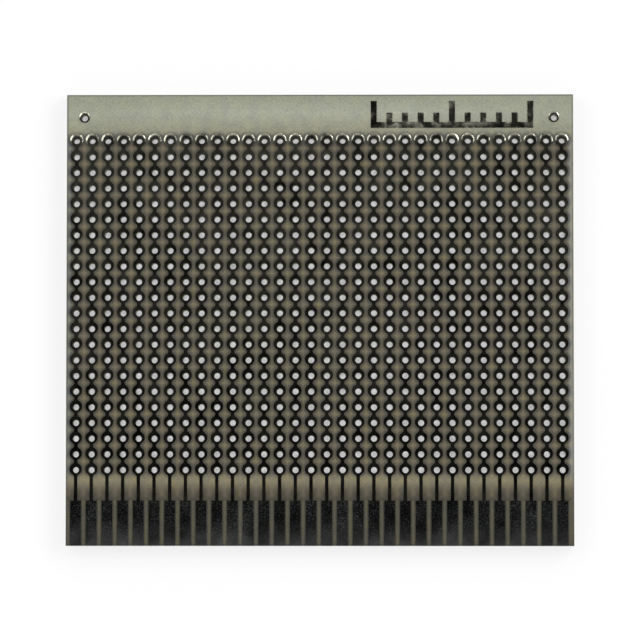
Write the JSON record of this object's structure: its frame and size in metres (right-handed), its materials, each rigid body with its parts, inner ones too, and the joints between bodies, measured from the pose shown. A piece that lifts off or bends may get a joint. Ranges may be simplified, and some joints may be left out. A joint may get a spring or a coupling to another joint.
{
  "type": "prototype board",
  "caption": "Single-sided prototype board: drilled glass-epoxy plate with tinned copper pad tracks that end in edge contact fingers.",
  "frame": {"origin": "middle of the bare underside", "axes": "+X along the rows of holes, +Y away from the contact fingers, +Z out of the copper side; the board lies flat on its bare side"},
  "size_m": [0.0822, 0.0732, 0.0019],
  "materials": {
    "glass_epoxy": "translucent grey-green glass-epoxy laminate, satin, with a faint weave",
    "tinned_copper": "tinned copper, dark and glossy on pads and leads, granular on the fingers"
  },
  "bodies": {
    "root": {"laminate": "glass_epoxy", "scale_bar": "tinned_copper", "corner_pad_left": "tinned_copper", "corner_pad_right": "tinned_copper", "track_01": "tinned_copper", "track_02": "tinned_copper", "track_03": "tinned_copper", "track_04": "tinned_copper", "track_05": "tinned_copper", "track_06": "tinned_copper", "track_07": "tinned_copper", "track_08": "tinned_copper", "track_09": "tinned_copper", "track_10": "tinned_copper", "track_11": "tinned_copper", "track_12": "tinned_copper", "track_13": "tinned_copper", "track_14": "tinned_copper", "track_15": "tinned_copper", "track_16": "tinned_copper", "track_17": "tinned_copper", "track_18": "tinned_copper", "track_19": "tinned_copper", "track_20": "tinned_copper", "track_21": "tinned_copper", "track_22": "tinned_copper", "track_23": "tinned_copper", "track_24": "tinned_copper", "track_25": "tinned_copper", "track_26": "tinned_copper", "track_27": "tinned_copper", "track_28": "tinned_copper", "track_29": "tinned_copper", "track_30": "tinned_copper", "track_31": "tinned_copper", "track_32": "tinned_copper"}
  },
  "joints": []
}
